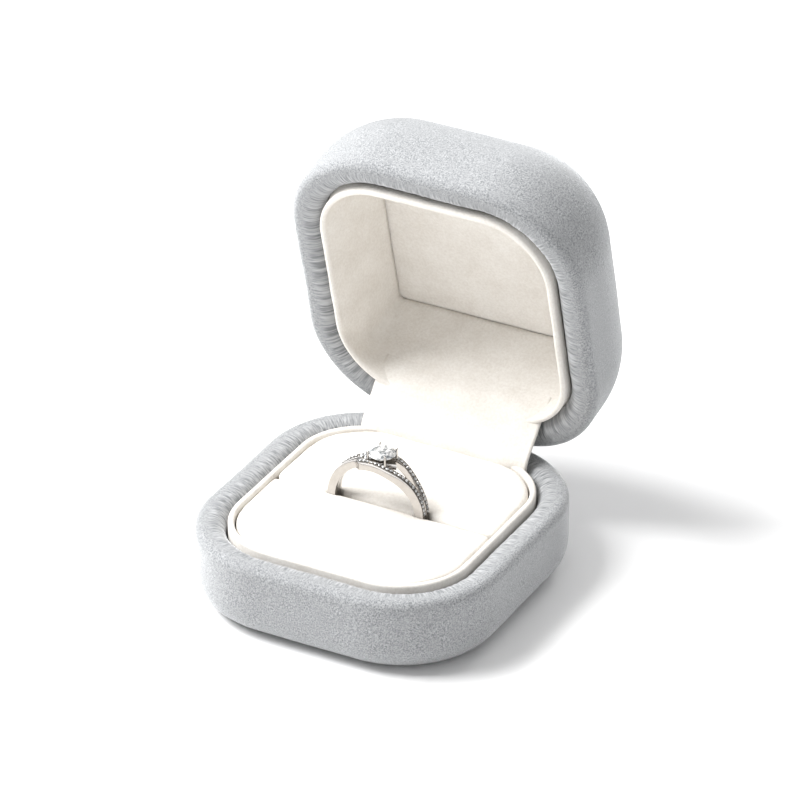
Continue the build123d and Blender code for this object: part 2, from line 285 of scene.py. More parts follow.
# The lid's own place: the middle of its rim, its crown along +Z, as when it is shut.
opened = math.radians(box["openAngle"])
axisBack = (box["rimOuterRadius"] + box["rimGap"] / 2) * math.tan(opened / 4)
axisY = box["depth"] / 2 - box["rimOuterRadius"] + axisBack
axisZ = box["baseHeight"] + box["rimGap"] / 2
lidPlace = (
    Matrix.Translation((0, axisY * mm, axisZ * mm))
    @ Matrix.Rotation(-opened, 4, "X")
    @ Matrix.Translation((0, -axisY * mm, box["rimGap"] / 2 * mm))
)


def placeOnLid(piece):
    activate(piece)
    piece.matrix_world = lidPlace
    bpy.ops.object.transform_apply(location=True, rotation=True, scale=True)


def linear(code):
    # a hex sRGB colour as linear RGBA
    parts = [int(code[place:place + 2], 16) / 255 for place in (1, 3, 5)]
    return [p / 12.92 if p <= 0.04045 else ((p + 0.055) / 1.055) ** 2.4 for p in parts] + [1.0]


def addNode(tree, kind, settings=None, links=None):
    node = tree.nodes.new(kind)
    for name, value in (settings or {}).items():
        if isinstance(name, int) or name in node.inputs:
            node.inputs[name].default_value = value
        else:
            setattr(node, name, value)
    for name, source in (links or {}).items():
        tree.links.new(source, node.inputs[name])
    return node


def startMaterial(name, roughness, metallic=0.0):
    material = bpy.data.materials.new(name)
    material.use_nodes = True
    tree = material.node_tree
    shader = tree.nodes["Principled BSDF"]
    shader.inputs["Roughness"].default_value = roughness
    shader.inputs["Metallic"].default_value = metallic
    return material, tree, shader


def addSheen(shader, look):
    # the pale edge that standing fibres give a cloth
    shader.inputs["Sheen Weight"].default_value = look["sheen"]
    shader.inputs["Sheen Roughness"].default_value = look["sheenRoughness"]
    shader.inputs["Sheen Tint"].default_value = linear(look["sheenTint"])


# Short-pile velvet, woven and brushed: a matt cloth whose pile lies in crushed patches,
# dark where one looks into it and light where it is seen from the side. A real fibre is
# about 0.05 mm thick, so the speckle and the strokes are drawn coarser than real.
velvetLook = {
    "dark": "#717476",
    "light": "#bcbdbf",
    "shade": "#9a9b9d",
    "speckle": 0.28,
    "patch": 2.6,
    "strokeWide": 0.38,
    "strokeLong": 2.6,
    "pileLow": 0.36,
    "pileHigh": 0.66,
    "patchLow": 0.34,
    "patchHigh": 0.68,
    "crushed": 0.45,
    "roughness": 0.95,
    "sheen": 1.0,
    "sheenRoughness": 0.35,
    "sheenTint": "#f2f4f5",
    "bumpStrength": 0.9,
    "bumpDepth": 0.12,
}


def makeVelvet(name, look):
    material, tree, shader = startMaterial(name, look["roughness"])
    dark, light = linear(look["dark"]), linear(look["light"])
    pileRange = {"From Min": look["pileLow"], "From Max": look["pileHigh"]}
    place = addNode(tree, "ShaderNodeTexCoord")
    speckle = addNode(
        tree, "ShaderNodeTexNoise", {"Scale": 1 / (look["speckle"] * mm), "Detail": 3.0, "Roughness": 0.65},
        {"Vector": place.outputs["Object"]},
    )
    patch = addNode(
        tree, "ShaderNodeTexNoise", {"Scale": 1 / (look["patch"] * mm), "Detail": 3.0, "Roughness": 0.6},
        {"Vector": place.outputs["Object"]},
    )
    # on the rims the pile is combed inwards, across the UV map's first direction
    scale = (1 / look["strokeWide"], 1 / look["strokeLong"], 1.0)
    stretched = addNode(tree, "ShaderNodeMapping", {"Scale": scale}, {"Vector": place.outputs["UV"]})
    stroke = addNode(
        tree, "ShaderNodeTexNoise", {"Scale": 1.0, "Detail": 2.0, "Roughness": 0.5},
        {"Vector": stretched.outputs["Vector"]},
    )
    rim = addNode(tree, "ShaderNodeAttribute", {"attribute_name": "rimPile"})
    fine = addNode(tree, "ShaderNodeMapRange", pileRange, {"Value": speckle.outputs["Fac"]})
    fibre = addNode(tree, "ShaderNodeMapRange", pileRange, {"Value": stroke.outputs["Fac"]})
    broad = addNode(
        tree, "ShaderNodeMapRange", {"From Min": look["patchLow"], "From Max": look["patchHigh"]},
        {"Value": patch.outputs["Fac"]},
    )
    crushed = addNode(
        tree, "ShaderNodeMapRange", {"To Min": look["crushed"], "To Max": 0.0}, {"Value": broad.outputs[0]}
    )
    twoTones = {"data_type": "RGBA", 6: dark, 7: light}
    brushed = addNode(tree, "ShaderNodeMix", twoTones, {0: fine.outputs[0]})
    combed = addNode(tree, "ShaderNodeMix", twoTones, {0: fibre.outputs[0]})
    pile = addNode(
        tree, "ShaderNodeMix", {"data_type": "RGBA"},
        {0: rim.outputs["Fac"], 6: brushed.outputs[2], 7: combed.outputs[2]},
    )
    colour = addNode(
        tree, "ShaderNodeMix", {"data_type": "RGBA", 7: linear(look["shade"])},
        {0: crushed.outputs[0], 6: pile.outputs[2]},
    )
    tree.links.new(colour.outputs[2], shader.inputs["Base Color"])
    height = addNode(
        tree, "ShaderNodeMix", {"data_type": "FLOAT"},
        {0: rim.outputs["Fac"], 2: speckle.outputs["Fac"], 3: stroke.outputs["Fac"]},
    )
    bump = addNode(
        tree, "ShaderNodeBump", {"Strength": look["bumpStrength"], "Distance": look["bumpDepth"] * mm},
        {"Height": height.outputs[0]},
    )
    tree.links.new(bump.outputs["Normal"], shader.inputs["Normal"])
    addSheen(shader, look)
    return material


# Cream flannel, brushed cotton with a very short nap: matt, almost white, with faint
# clouds where the nap lies differently. The nap's flecks are drawn coarser than real.
flannelLook = {
    "dark": "#dcd7d0",
    "light": "#ece9e4",
    "speckle": 0.5,
    "patch": 5.0,
    "napLow": 0.85,
    "napHigh": 1.65,
    "roughness": 0.97,
    "sheen": 0.35,
    "sheenRoughness": 0.5,
    "sheenTint": "#fffaf2",
    "bumpStrength": 0.7,
    "bumpDepth": 0.06,
}


def makeFlannel(name, look):
    material, tree, shader = startMaterial(name, look["roughness"])
    place = addNode(tree, "ShaderNodeTexCoord")
    speckle = addNode(
        tree, "ShaderNodeTexNoise", {"Scale": 1 / (look["speckle"] * mm), "Detail": 3.0, "Roughness": 0.65},
        {"Vector": place.outputs["Object"]},
    )
    patch = addNode(
        tree, "ShaderNodeTexNoise", {"Scale": 1 / (look["patch"] * mm), "Detail": 2.0, "Roughness": 0.55},
        {"Vector": place.outputs["Object"]},
    )
    total = addNode(
        tree, "ShaderNodeMath", {"operation": "MULTIPLY_ADD", 1: 1.5},
        {0: speckle.outputs["Fac"], 2: patch.outputs["Fac"]},
    )
    nap = addNode(
        tree, "ShaderNodeMapRange", {"From Min": look["napLow"], "From Max": look["napHigh"]},
        {"Value": total.outputs[0]},
    )
    colour = addNode(
        tree, "ShaderNodeMix", {"data_type": "RGBA", 6: linear(look["dark"]), 7: linear(look["light"])},
        {0: nap.outputs[0]},
    )
    tree.links.new(colour.outputs[2], shader.inputs["Base Color"])
    bump = addNode(
        tree, "ShaderNodeBump", {"Strength": look["bumpStrength"], "Distance": look["bumpDepth"] * mm},
        {"Height": speckle.outputs["Fac"]},
    )
    tree.links.new(bump.outputs["Normal"], shader.inputs["Normal"])
    addSheen(shader, look)
    return material


def makeGrained(name, look):
    # a plain stuff whose colour, gloss and surface all vary with one fine grain
    roughness = look["roughness"]
    material, tree, shader = startMaterial(name, roughness, look["metallic"])
    place = addNode(tree, "ShaderNodeTexCoord")
    speckle = addNode(
        tree, "ShaderNodeTexNoise", {"Scale": 1 / (look["grain"] * mm), "Detail": 3.0, "Roughness": 0.55},
        {"Vector": place.outputs["Object"]},
    )
    colour = addNode(
        tree, "ShaderNodeMix", {"data_type": "RGBA", 6: linear(look["dark"]), 7: linear(look["light"])},
        {0: speckle.outputs["Fac"]},
    )
    tree.links.new(colour.outputs[2], shader.inputs["Base Color"])
    gloss = addNode(
        tree, "ShaderNodeMapRange",
        {"From Min": 0.3, "From Max": 0.7, "To Min": roughness * 0.8, "To Max": roughness * 1.2},
        {"Value": speckle.outputs["Fac"]},
    )
    tree.links.new(gloss.outputs[0], shader.inputs["Roughness"])
    bump = addNode(
        tree, "ShaderNodeBump", {"Strength": 0.5, "Distance": look["bumpDepth"] * mm},
        {"Height": speckle.outputs["Fac"]},
    )
    tree.links.new(bump.outputs["Normal"], shader.inputs["Normal"])
    return material


def makeStone(name, look):
    material, tree, shader = startMaterial(name, 0.02)
    place = addNode(tree, "ShaderNodeTexCoord")
    cells = addNode(
        tree, "ShaderNodeTexVoronoi", {"Scale": 1 / (look["facet"] * mm), "Randomness": 0.9},
        {"Vector": place.outputs["Object"]},
    )
    # painted reflections: each facet-sized cell is painted from grey to white in the base colour
    glint = addNode(
        tree, "ShaderNodeMapRange", {"From Min": 0.2, "From Max": 0.75}, {"Value": cells.outputs["Color"]}
    )
    colour = addNode(
        tree, "ShaderNodeMix", {"data_type": "RGBA", 6: linear(look["dark"]), 7: linear("#ffffff")},
        {0: glint.outputs[0]},
    )
    tree.links.new(colour.outputs[2], shader.inputs["Base Color"])
    shader.inputs["IOR"].default_value = 2.4
    shader.inputs["Transmission Weight"].default_value = 0.25
    return material


# Polystyrene, injection moulded: satin, with the slow unevenness of the mould's polish.
plasticLook = {
    "dark": "#cfcdc6", "light": "#dedcd5", "grain": 1.5,
    "roughness": 0.5, "metallic": 0.0, "bumpDepth": 0.02,
}
# Grey board, pressed from waste paper: matt and warm, flecked with fibres about 0.6 mm long.
boardLook = {
    "dark": "#cdc3b0", "light": "#ddd5c4", "grain": 0.6,
    "roughness": 0.85, "metallic": 0.0, "bumpDepth": 0.02,
}
# Steel, pressed and zinc plated: a soft bright metal with spangle about 0.8 mm wide.
steelLook = {
    "dark": "#a9a8a4", "light": "#c9c8c4", "grain": 0.8,
    "roughness": 0.35, "metallic": 1.0, "bumpDepth": 0.02,
}
# White gold, cast and polished: nearly a mirror, faintly warm, with the softest wear.
goldLook = {
    "dark": "#b8b4b0", "light": "#cdcac7", "grain": 0.9,
    "roughness": 0.13, "metallic": 1.0, "bumpDepth": 0.004,
}
# The same gold where it lies between small stones, rough from the graver; its dark colour is painted shade
# for the hollows under and between the stones.
paintedShadeSettingLook = {
    "dark": "#3d3934", "light": "#8d877e", "grain": 0.25,
    "roughness": 0.4, "metallic": 0.9, "bumpDepth": 0.03,
}
# Clear stone, cut and polished: each facet throws back its own patch of the room, so
# cells about a facet wide run from grey to white in the base colour, painted reflections under a hard
# gloss.
centreLook = {"facet": 0.42, "dark": "#7c8286"}
smallLook = {"facet": 0.24, "dark": "#4b4e52"}

velvet = makeVelvet("brushedVelvet", velvetLook)
flannel = makeFlannel("creamFlannel", flannelLook)
plastic = makeGrained("mouldedPolystyrene", plasticLook)
greyBoard = makeGrained("pressedGreyBoard", boardLook)
zincSteel = makeGrained("zincPlatedSteel", steelLook)
whiteGold = makeGrained("polishedWhiteGold", goldLook)
paintedShadeSetting = makeGrained("shadedGoldSetting", paintedShadeSettingLook)
clearStone = makeStone("cutClearStone", centreLook)
smallStone = makeStone("smallClearStones", smallLook)
print("stage: materials made")

nodeMaterials = {
    "base_shell": plastic,
    "lid_shell": plastic,
    "underside_panel": velvet,
    "cushion_board": greyBoard,
    "hinge_base_leaf": zincSteel,
    "hinge_lid_leaf": zincSteel,
    "hinge_pin": zincSteel,
    "hinge_spring": zincSteel,
}


def useMaterial(piece, material):
    piece.data.materials.clear()
    piece.data.materials.append(material)


for nodeName, nodeMaterial in nodeMaterials.items():
    useMaterial(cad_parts[nodeName], nodeMaterial)


gathers = {
    "width": 0.75,  # one gather along the rim
    "depth": 0.08,
    "cornerDepth": 0.05,
    "wave": 0.12,  # slow unevenness of the padding
    "waveWidth": 11.0,
}


def rimSteps():
    crest = box["rimThickness"] - box["rimOuterRadius"] - box["rimInnerRadius"]
    return (
        roundOver(box["rimOuterRadius"], box["outerRoundSteps"])
        + [(crest / 3, 0.0)] * 3
        + roundDown(box["rimInnerRadius"], box["innerRoundSteps"])
        + [(0, -box["hemShown"] / 2)] * 2
    )


def coverSink(point, rimHeight, inward):
    # gathers where the cloth turns over the rim, and the slow swell of the padding
    along, inside, total = planPlace(point.x, point.y)
    below = (rimHeight - point.z) * inward
    atRim = smoothStep(2.2, 4.2, inside) * smoothStep(5.5, 1.0, below)
    ridge = noise.noise((along / gathers["width"], inside / 5, 3.7 * inward))
    depth = gathers["depth"] + gathers["cornerDepth"] * cornerShare(point.x, point.y)
    swell = noise.noise(point / gathers["waveWidth"] + Vector((7 * inward, 2, 5)))
    return atRim * depth * (0.5 + ridge) + gathers["wave"] * (0.6 + swell)


def rimPileAt(rimHeight, inward):
    def share(point):
        along, inside, total = planPlace(point.x, point.y)
        below = (rimHeight - point.z) * inward
        return smoothStep(1.4, 3.6, inside) * smoothStep(7.0, 2.5, below)

    return share


baseCover = outline("baseCover", box["width"], box["depth"], box["cornerRadius"], box["footRadius"])
wallTop = box["baseHeight"] - box["rimOuterRadius"]
baseRow = (wallTop - box["footRadius"]) / box["baseRows"]
raiseWall(baseCover, baseRow)
followProfile(baseCover, True, [(0, baseRow)] * (box["baseRows"] - 1) + rimSteps())
footFlat = box["footMargin"] - box["footRadius"]
footSteps = roundOver(box["footRadius"], box["footRoundSteps"]) + [(footFlat / 3, 0.0)] * 3
followProfile(baseCover, False, footSteps)
dropCap(baseCover, True)
dropCap(baseCover, False)


def baseSink(point):
    # nothing sinks where the box stands
    return coverSink(point, box["baseHeight"], 1) * smoothStep(0.0, 2.0, point.z)


sinkSurface(baseCover, baseSink)
unwrapAround(baseCover)
paintAttribute(baseCover, "rimPile", rimPileAt(box["baseHeight"], 1))
applyModifier(baseCover, "SOLIDIFY", thickness=box["coverThickness"] * mm, offset=-1)

lidCover = outline("lidCover", box["width"], box["depth"], box["cornerRadius"], box["rimOuterRadius"])
lidRow = (box["lidHeight"] - box["crownRadius"] - box["rimOuterRadius"]) / box["lidRows"]
raiseWall(lidCover, lidRow)
crownFlat = box["cornerRadius"] - box["crownRadius"] - 0.01
crownSteps = roundOver(box["crownRadius"], box["crownRoundSteps"]) + [(crownFlat, 0.0)]
followProfile(lidCover, True, [(0, lidRow)] * (box["lidRows"] - 1) + crownSteps)
followProfile(lidCover, False, rimSteps())
dropCap(lidCover, False)
openEdit(lidCover)
pickCap(lidCover, True)
bpy.ops.mesh.delete(type="FACE")
crownTop = box["lidHeight"] * mm - 1e-6


def onCrownEdge(edge):
    return len(edge.link_faces) < 2 and all(vert.co.z > crownTop for vert in edge.verts)


# each rounded corner has shrunk to a point there, so the crown is filled as a plain grid
pick(lidCover, "edges", onCrownEdge)
bpy.ops.mesh.remove_doubles(threshold=5e-5)
pick(lidCover, "edges", onCrownEdge)
bpy.ops.mesh.fill_grid(span=box["sideSegments"])
closeEdit()
sinkSurface(lidCover, lambda point: coverSink(point, 0.0, -1))
unwrapAround(lidCover)
paintAttribute(lidCover, "rimPile", rimPileAt(0.0, -1))
applyModifier(lidCover, "SOLIDIFY", thickness=box["coverThickness"] * mm, offset=-1)
placeOnLid(lidCover)
for cover, body, node in ((baseCover, "base", "base_cover"), (lidCover, "lid", "lid_cover")):
    shadeSmooth(cover)
    useMaterial(cover, velvet)
    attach(cover, body)
    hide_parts(node, body + "_padding")
print("stage: velvet covers made")

lining = {
    "outer": 5.95,
    "inner": 7.25,
    "proud": 0.1,
    "lip": 0.62,
    "floor": 4.2,
    "midHeight": 3.6,
    "midRadius": 7.2,
    "upperHeight": 7.6,
    "upperRadius": 2.2,
    "topHeight": 16.2,
    "topSide": 10.3,
    "topEnd": 14.0,
    "topRadius": 0.9,
    "wall": 1.3,
    "waviness": 0.1,
}


def lipSteps():
    flat = lining["inner"] - lining["outer"] - 2 * lining["lip"]
    return roundOver(lining["lip"], 6) + [(flat, 0.0)] + roundDown(lining["lip"], 6)


def insetOutline(name, inset, height):
    size = (box["width"] - 2 * inset, box["depth"] - 2 * inset)
    return outline(name, *size, box["cornerRadius"] - inset, height)


def napSink(point):
    # the board under the lining is cut by hand, so nothing is quite straight
    return lining["waviness"] * (0.5 + noise.noise(point / 6.0))


baseLining = insetOutline("baseLining", lining["outer"], lining["floor"] + 0.2)
lipStart = box["baseHeight"] + lining["proud"] - lining["lip"]
raiseWall(baseLining, lipStart - lining["floor"] - 0.2)
drop = lipStart - lining["floor"]
followProfile(baseLining, True, lipSteps() + [(0, -drop / 8)] * 8)
dropCap(baseLining, True)
dropCap(baseLining, False)
bridgeLoops(baseLining, lambda point: point.z < lining["floor"] + 1)
sinkSurface(baseLining, napSink)
shadeSmooth(baseLining)
useMaterial(baseLining, flannel)
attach(baseLining, "base")
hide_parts("base_liner")


def liningSection(name, height, radius, grow):
    # the lid's lining narrows from its rim to its ceiling
    share = height / lining["topHeight"]
    side = lining["inner"] + (lining["topSide"] - lining["inner"]) * share - grow
    end = lining["inner"] + (lining["topEnd"] - lining["inner"]) * share - grow
    size = (box["width"] - 2 * side, box["depth"] - 2 * end)
    return outline(name, *size, radius + grow, height, False)


lidLining = insetOutline("lidLining", lining["outer"], 2.0)
raiseWall(lidLining, lining["lip"] - lining["proud"] - 2.0)
followProfile(lidLining, False, lipSteps())
dropCap(lidLining, True)
dropCap(lidLining, False)
sections = {}
for back, grow in ((False, 0.0), (True, lining["wall"])):
    for level in ("mid", "upper", "top"):
        lift = 0.2 if back and level == "top" else 0.0
        sections[level, back] = liningSection(
            "lining", lining[level + "Height"] + lift, lining[level + "Radius"], grow
        )


def joinSection(piece, section, openHeight, cuts):
    # the section's loop becomes part of the piece, and is joined to the open loop at openHeight
    activate(piece)
    section.select_set(True)
    bpy.ops.object.join()
    openEdit(piece)
    near = 0.01
    pick(
        piece, "edges",
        lambda edge: len(edge.link_faces) == 0
        or (len(edge.link_faces) == 1 and all(abs(v.co.z / mm - openHeight) < near for v in edge.verts)),
    )
    bpy.ops.mesh.bridge_edge_loops(number_cuts=cuts)
    closeEdit()


lipHeight = lining["lip"] - lining["proud"]
for back in (False, True):
    openHeight = 2.0 if back else lipHeight
    for level, cuts in (("mid", 5), ("upper", 5), ("top", 10)):
        joinSection(lidLining, sections[level, back], openHeight, cuts)
        openHeight = lining[level + "Height"]
bridgeLoops(lidLining, lambda point: point.z > lining["topHeight"] - 0.5)
openEdit(lidLining)
bpy.ops.mesh.select_all(action="SELECT")
bpy.ops.mesh.remove_doubles(threshold=1e-7)
bpy.ops.mesh.normals_make_consistent(inside=False)
closeEdit()
sinkSurface(lidLining, napSink)
placeOnLid(lidLining)
shadeSmooth(lidLining)

ceilingSize = (box["width"] - 2 * lining["topSide"] + 0.9, box["depth"] - 2 * lining["topEnd"] + 0.9)
lidCeiling = outline("lidCeiling", *ceilingSize, lining["topRadius"], lining["topHeight"] + 0.5)
raiseWall(lidCeiling, 0.7)
followProfile(lidCeiling, False, roundOver(0.3, 3))
openEdit(lidCeiling)
pickCap(lidCeiling, False)
bpy.ops.mesh.delete(type="FACE")
pick(lidCeiling, "edges", lambda edge: len(edge.link_faces) < 2)
bpy.ops.mesh.fill_grid()
closeEdit()
for vertex in lidCeiling.data.vertices:
    # the padding under the ceiling's cloth swells towards the middle
    point = vertex.co / mm
    edgeX = 1 - (2 * point.x / ceilingSize[0]) ** 2
    edgeY = 1 - (2 * point.y / ceilingSize[1]) ** 2
    if point.z < lining["topHeight"] + 0.1:
        vertex.co.z -= (0.35 * max(edgeX, 0) ** 0.5 * max(edgeY, 0) ** 0.5 + napSink(point)) * mm
openEdit(lidCeiling)
bpy.ops.mesh.select_all(action="SELECT")
bpy.ops.mesh.normals_make_consistent(inside=False)
closeEdit()
placeOnLid(lidCeiling)
shadeSmooth(lidCeiling)
for piece, node in ((lidLining, "lid_liner"), (lidCeiling, "lid_ceiling")):
    useMaterial(piece, flannel)
    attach(piece, "lid")
    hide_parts(node)
print("stage: lining made")

cushion = {
    "inset": 7.45,
    "bottom": 4.3,
    "top": 15.15,
    "slit": 0.3,
    "cornerRadius": 1.3,
    "voxel": 0.5,
    "smoothing": 12,
    "crown": 0.5,
    "ringX": -0.95,
    "ringZ": 14.9,
    "ringInner": 7.9,
    "ringOuter": 9.9,
    "ringHalfWidth": 1.3,
}


def ringPush(point, side):
    # the cushion gives way round the part of the ring that it grips
    reach = math.hypot(point.x - cushion["ringX"], point.z - cushion["ringZ"])
    off = max(cushion["ringInner"] - reach, reach - cushion["ringOuter"], 0.0)
    least = cushion["ringHalfWidth"] * (1 - smoothStep(0.0, 0.7, off))
    return side * max(abs(point.y), least)


for cushionName, side in (("frontCushion", -1), ("rearCushion", 1)):
    pad = insetOutline(cushionName, cushion["inset"], cushion["bottom"])
    openEdit(pad)
    bpy.ops.mesh.select_all(action="SELECT")
    cutPoint = (0, side * cushion["slit"] / 2 * mm, 0)
    bpy.ops.mesh.bisect(plane_co=cutPoint, plane_no=(0, side, 0), clear_inner=True)
    cutY = abs(cutPoint[1]) + 1e-6
    farX = (box["width"] / 2 - cushion["inset"]) * mm * 0.98
    pick(pad, "verts", lambda vert: abs(vert.co.y) < cutY and abs(vert.co.x) > farX)
    bpy.ops.mesh.bevel(affect="VERTICES", offset=cushion["cornerRadius"] * mm, segments=5)
    closeEdit()
    raiseWall(pad, cushion["top"] - cushion["bottom"])
    applyModifier(pad, "REMESH", mode="VOXEL", voxel_size=cushion["voxel"] * mm)
    openEdit(pad)
    bpy.ops.mesh.select_all(action="SELECT")
    bpy.ops.mesh.vertices_smooth(factor=0.5, repeat=cushion["smoothing"])
    closeEdit()
    halfX = box["width"] / 2 - cushion["inset"]
    halfY = box["depth"] / 2 - cushion["inset"]
    for vertex in pad.data.vertices:
        point = vertex.co / mm
        upper = smoothStep(cushion["bottom"] + 3, cushion["top"], point.z)
        domeX = max(1 - (point.x / halfX) ** 2, 0)
        domeY = max(1 - ((abs(point.y) - halfY / 2) / halfY * 2) ** 2, 0)
        dome = domeX * domeY
        uneven = 0.16 * noise.noise(point / 7.0 + Vector((side * 9, 0, 0)))
        vertex.co.z += upper * (cushion["crown"] * dome ** 0.7 + uneven) * mm
        vertex.co.y = ringPush(point, side) * mm
    shadeSmooth(pad)
    useMaterial(pad, flannel)
    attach(pad, "base")
    place = "front" if side < 0 else "rear"
    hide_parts(place + "_cushion_cover", place + "_cushion_foam")
print("stage: cushions made")

cloth = {
    "width": 34.0,
    "thickness": 0.5,
    "rows": 60,
    "columns": 68,
    "slack": 0.25,
    "path": [
        (23.25, 9.2),
        (23.25, 13.0),
        (23.45, 15.6),
        (24.4, 17.2),
        (26.3, 19.2),
        (27.5, 20.3),
        (28.0, 20.95),
        (28.45, 21.6),
        (29.2, 22.45),
        (31.2, 23.75),
        (34.5, 25.5),
    ],
}


def pathPlaces(points, count):
    # points at even steps along a smooth line through the given ones
    fineLine = []
    padded = [points[0], *points, points[-1]]
    for index in range(len(points) - 1):
        before, start, end, after = padded[index:index + 4]
        for step in range(20):
            t = step / 20
            fineLine.append([
                0.5 * (2 * start[i] + (end[i] - before[i]) * t
                       + (2 * before[i] - 5 * start[i] + 4 * end[i] - after[i]) * t ** 2
                       + (3 * start[i] - before[i] - 3 * end[i] + after[i]) * t ** 3)
                for i in (0, 1)
            ])
    fineLine.append(list(points[-1]))
    lengths = [0.0]
    for a, b in zip(fineLine, fineLine[1:]):
        lengths.append(lengths[-1] + math.dist(a, b))
    places = []
    spot = 0
    for index in range(count + 1):
        want = lengths[-1] * index / count
        while spot < len(lengths) - 2 and lengths[spot + 1] < want:
            spot += 1
        share = (want - lengths[spot]) / (lengths[spot + 1] - lengths[spot])
        start, end = fineLine[spot:spot + 2]
        places.append([start[i] + share * (end[i] - start[i]) for i in (0, 1)])
    return places, lengths[-1]


clothRows = cloth["rows"]
places, clothLength = pathPlaces(cloth["path"], clothRows)
deselectAll()
bpy.ops.mesh.primitive_grid_add(
    x_subdivisions=cloth["columns"], y_subdivisions=clothRows, size=1, location=(0, 0, 0)
)
hingeCloth = bpy.context.object
hingeCloth.name = "hingeCloth"
hingeCloth.scale = (cloth["width"] * mm, clothRows * mm, 1)
bpy.ops.object.transform_apply(location=True, rotation=True, scale=True)
for vertex in hingeCloth.data.vertices:
    row = round(vertex.co.y / mm + clothRows / 2)
    y, z = places[row]
    # the cloth is glued at both ends and lies a little slack between them
    middle = math.sin(math.pi * row / clothRows)
    slack = cloth["slack"] * noise.noise((vertex.co.x / mm / 9, row / 16, 4.2)) * middle
    vertex.co.y = (y + slack) * mm
    vertex.co.z = (z - slack) * mm
applyModifier(hingeCloth, "SOLIDIFY", thickness=cloth["thickness"] * mm, offset=0)
openEdit(hingeCloth)
bpy.ops.mesh.select_all(action="SELECT")
bpy.ops.mesh.normals_make_consistent(inside=False)
closeEdit()
shadeSmooth(hingeCloth)
useMaterial(hingeCloth, flannel)
print("hinge cloth length", round(clothLength, 2))
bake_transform(hingeCloth)
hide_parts("hinge_flap")
print("stage: hinge cloth made")

ring = {
    "x": -0.95,
    "z": 14.9,
    "outer": 9.8,
    "inner": 8.15,
    "strandWide": 1.3,
    "edge": 0.14,
    "steps": 180,
    "footShift": 0.65,  # where the two strands lie side by side
    "kinkStart": -3.8,
    "kinkEnd": -2.5,
    "kinkShift": 2.0,
    "wideX": 2.5,
    "wideShift": 2.1,
    "closeX": 9.4,
}


def strandShift(x, z):
    # how far a strand's middle stands from the ring's middle plane
    foot = ring["footShift"]
    kink = min(max((x - ring["kinkStart"]) / (ring["kinkEnd"] - ring["kinkStart"]), 0), 1)
    spread = (ring["kinkShift"] - foot) * kink
    spread += (ring["wideShift"] - ring["kinkShift"]) * smoothStep(ring["kinkEnd"], ring["wideX"], x)
    spread *= 1 - smoothStep(ring["wideX"], ring["closeX"], x)
    return foot + spread * smoothStep(0.0, 2.5, z)


def shadeByAngle(piece, degrees):
    activate(piece)
    bpy.ops.object.shade_smooth_by_angle(angle=math.radians(degrees))


def makeStrand(name, side):
    # a square wire spun round the finger, then drawn aside
    middle = (ring["outer"] + ring["inner"]) / 2
    deselectAll()
    bpy.ops.mesh.primitive_plane_add(size=1, location=((ring["x"] + middle) * mm, 0, ring["z"] * mm))
    strand = bpy.context.object
    strand.name = name
    strand.scale = ((ring["outer"] - ring["inner"]) * mm, ring["strandWide"] * mm, 1)
    bpy.ops.object.transform_apply(location=True, rotation=True, scale=True)
    openEdit(strand)
    bpy.ops.mesh.select_all(action="SELECT")
    bpy.ops.mesh.delete(type="ONLY_FACE")
    bpy.ops.mesh.select_all(action="SELECT")
    bpy.ops.mesh.spin(
        steps=ring["steps"], angle=2 * math.pi,
        center=(ring["x"] * mm, 0, ring["z"] * mm), axis=(0, 1, 0),
    )
    bpy.ops.mesh.select_all(action="SELECT")
    bpy.ops.mesh.remove_doubles(threshold=1e-6)
    bpy.ops.mesh.normals_make_consistent(inside=False)
    closeEdit()
    applyModifier(
        strand, "BEVEL", width=ring["edge"] * mm, segments=2,
        limit_method="ANGLE", angle_limit=math.radians(60),
    )
    for vertex in strand.data.vertices:
        x, z = vertex.co.x / mm - ring["x"], vertex.co.z / mm - ring["z"]
        vertex.co.y += side * strandShift(x, z) * mm
    return strand


pave = {
    "radius": 0.36,
    "table": 0.2,
    "crown": 0.15,
    "point": 0.36,
    "lift": 0.05,
    "pitch": 4.7,
    "right": (-15.0, 86.0),
    "left": (-62.0, -26.0),
}


def ringAngle(point):
    return math.degrees(math.atan2(point.x - ring["x"], point.z - ring["z"]))


def inPave(angle, side):
    low, high = pave["right"]
    if low - 3 < angle < high + 3:
        return True
    low, high = pave["left"]
    return side > 0 and low - 3 < angle < high + 3


strands = []
for strandName, side in (("frontStrand", -1), ("rearStrand", 1)):
    strand = makeStrand(strandName, side)
    useMaterial(strand, whiteGold)
    # the outward faces under the small stones take the dark setting: painted shade between the stones
    strand.data.materials.append(paintedShadeSetting)
    for polygon in strand.data.polygons:
        out = (polygon.center / mm - Vector((ring["x"], 0, ring["z"])))
        out.y = 0
        outwards = polygon.normal.dot(out.normalized()) > 0.93
        if outwards and inPave(ringAngle(polygon.center / mm), side):
            polygon.material_index = 1
    shadeByAngle(strand, 25)
    strands.append(strand)
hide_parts("ring_shank")

# The plate under the stone comes to a point on the ring's left.
plate = {
    "middleX": -0.15,
    "halfLength": 3.9,
    "halfWidth": 2.2,
    "top": 24.95,
    "thickness": 1.1,
    "edge": 0.14,
    "bends": 16,
}
deselectAll()
bpy.ops.mesh.primitive_circle_add(
    vertices=96, radius=1, fill_type="NGON",
    location=((ring["x"] + plate["middleX"]) * mm, 0, (plate["top"] - plate["thickness"]) * mm),
)
ringPlate = bpy.context.object
ringPlate.name = "ringPlate"
ringPlate.scale = (plate["halfLength"] * mm, plate["halfWidth"] * mm, 1)
bpy.ops.object.transform_apply(location=True, rotation=True, scale=True)


def plateHalfWidth(x):
    # half the plate's width at x from its middle
    share = abs(x) / plate["halfLength"]
    return plate["halfWidth"] * max(1 - share ** 2, 0.0)


